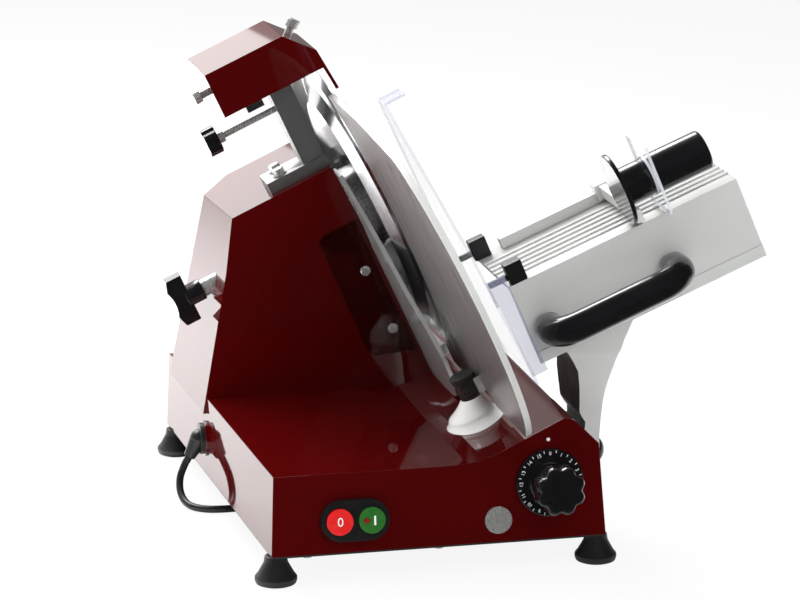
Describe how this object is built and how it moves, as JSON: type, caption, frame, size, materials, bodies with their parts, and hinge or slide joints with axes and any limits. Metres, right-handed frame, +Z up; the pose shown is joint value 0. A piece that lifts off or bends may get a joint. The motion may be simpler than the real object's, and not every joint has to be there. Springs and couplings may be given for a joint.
{
  "type": "electric food slicer",
  "caption": "Gravity-feed food slicer: red cast body with leaning round blade, thickness gauge plate, sharpener, sliding food tray with pusher, switch, dial and power cord.",
  "frame": {"origin": "middle of the object's box on the table, without the free cord", "axes": "+Z up, +X to the operator's right, +Y away from the operator"},
  "size_m": [0.4772, 0.729, 0.4556],
  "materials": {
    "red_paint": "glossy deep red enamel on cast aluminium",
    "black_paint": "satin black paint",
    "motor_paint": "dark grey paint on a thin motor case",
    "aluminium": "satin anodised",
    "steel": "turned steel",
    "blade_steel": "ground and polished",
    "rubber": "matt",
    "cord_rubber": "smooth satin",
    "black_plastic": "glossy",
    "pale_plastic": "matt",
    "red_plastic": "glossy",
    "green_plastic": "glossy",
    "clear_plastic": "clear, polished edges",
    "smoked_plastic": "dark clear sheet"
  },
  "bodies": {
    "frame": {"body_casting": "red_paint", "bottom_plate": "black_paint", "plate_screws": "steel", "rubber_feet": "rubber", "foot_screws": "steel", "motor_case": "motor_paint", "drive_belt": "rubber", "spindle_bearings": "steel", "ring_guard": "aluminium", "ring_screws": "steel", "slice_deflector": "smoked_plastic", "deflector_screws": "steel", "sharpener_post": "aluminium", "post_bolts": "steel", "carriage_bar": "steel", "bar_plugs": "steel", "guide_strip": "steel", "switch_housing": "black_plastic", "contact_block": "pale_plastic", "start_capacitor": "aluminium", "gauge_rod": "steel", "blade_cover": "aluminium", "splash_cone": "aluminium", "cord_gland": "cord_rubber", "power_cord": "cord_rubber", "cord_coil": "cord_rubber", "cord_tie": "black_plastic", "power_plug": "cord_rubber"},
    "blade_group": {"blade": "blade_steel", "blade_screws": "steel", "spindle": "steel", "driven_pulley": "aluminium"},
    "rotor": {"motor_shaft": "steel"},
    "tie": {"tie_rod": "steel", "wing_knob": "black_plastic"},
    "gauge": {"gauge_plate": "aluminium", "gauge_post": "steel", "gauge_slider": "aluminium"},
    "dial": {"dial_knob": "black_plastic", "dial_cam": "steel"},
    "stop": {"stop_button": "red_plastic"},
    "start": {"start_button": "green_plastic", "pilot_lamp": "red_plastic"},
    "sharpener": {"sharpener_hood": "red_paint", "sharpener_frame": "black_plastic"},
    "grinder": {"grinding_pin": "steel"},
    "deburrer": {"deburring_pin": "steel"},
    "post_lock": {"sharpener_knob": "black_plastic"},
    "carriage": {"carriage_slider": "aluminium", "carriage_arm": "aluminium", "food_tray": "aluminium", "tray_handle": "black_plastic", "handle_screws": "steel", "hand_guard": "clear_plastic", "guard_blocks": "black_plastic", "pusher_rail": "aluminium"},
    "arm_lock": {"arm_knob": "black_plastic"},
    "pusher": {"pusher_arm": "aluminium", "pusher_handle": "black_plastic", "pusher_shield": "clear_plastic"}
  },
  "joints": [
    {"name": "blade_spin", "type": "hinge", "parent": "frame", "child": "blade_group", "pos_m": [-0.03355, 0.12899, 0.276], "axis": [0.9063, 0, 0.4226], "continuous": true},
    {"name": "motor_spin", "type": "hinge", "parent": "frame", "child": "rotor", "pos_m": [0.00702, 0.17499, 0.18899], "axis": [0.9063, 0, 0.4226], "continuous": true},
    {"name": "tie_turn", "type": "hinge", "parent": "frame", "child": "tie", "pos_m": [-0.03355, 0.12899, 0.276], "axis": [0.9063, 0, 0.4226], "range_deg": [0, 340]},
    {"name": "gauge_slide", "type": "slide", "parent": "frame", "child": "gauge", "axis": [0.9063, 0, 0.4226], "range_m": [-0.015, 0]},
    {"name": "dial_turn", "type": "hinge", "parent": "frame", "child": "dial", "pos_m": [0.05645, -0.18437, 0.08], "axis": [0, -0.9976, 0.0698], "range_deg": [0, 330]},
    {"name": "stop_press", "type": "slide", "parent": "frame", "child": "stop", "axis": [0, 0.9976, -0.0698], "range_m": [0, 0.003], "stiffness_N_per_m": 600},
    {"name": "start_press", "type": "slide", "parent": "frame", "child": "start", "axis": [0, 0.9976, -0.0698], "range_m": [0, 0.003], "stiffness_N_per_m": 600},
    {"name": "sharpener_lift", "type": "slide", "parent": "frame", "child": "sharpener", "axis": [-0.4226, 0, 0.9063], "range_m": [0, 0.03]},
    {"name": "grinder_press", "type": "slide", "parent": "sharpener", "child": "grinder", "axis": [0.9063, 0, 0.4226], "range_m": [0, 0.006], "stiffness_N_per_m": 500},
    {"name": "deburrer_press", "type": "slide", "parent": "sharpener", "child": "deburrer", "axis": [-0.3971, 0, -0.9178], "range_m": [0, 0.005], "stiffness_N_per_m": 500},
    {"name": "post_lock_turn", "type": "hinge", "parent": "frame", "child": "post_lock", "pos_m": [-0.17701, 0.12899, 0.34703], "axis": [0.9063, 0, 0.4226], "range_deg": [0, 180]},
    {"name": "carriage_slide", "type": "slide", "parent": "frame", "child": "carriage", "axis": [0, 1, 0], "range_m": [0, 0.25]},
    {"name": "arm_lock_turn", "type": "hinge", "parent": "carriage", "child": "arm_lock", "pos_m": [0.12525, -0.08401, 0.077], "axis": [1, 0, 0], "range_deg": [0, 340]},
    {"name": "pusher_slide", "type": "slide", "parent": "carriage", "child": "pusher", "axis": [0.9205, 0, 0.3907], "range_m": [-0.08, 0.07]}
  ],
  "couplings": [
    {"joint": "motor_spin", "follows": "blade_spin", "ratio": 3.4444},
    {"joint": "dial_turn", "follows": "gauge_slide", "rad_per_m": -380}
  ]
}
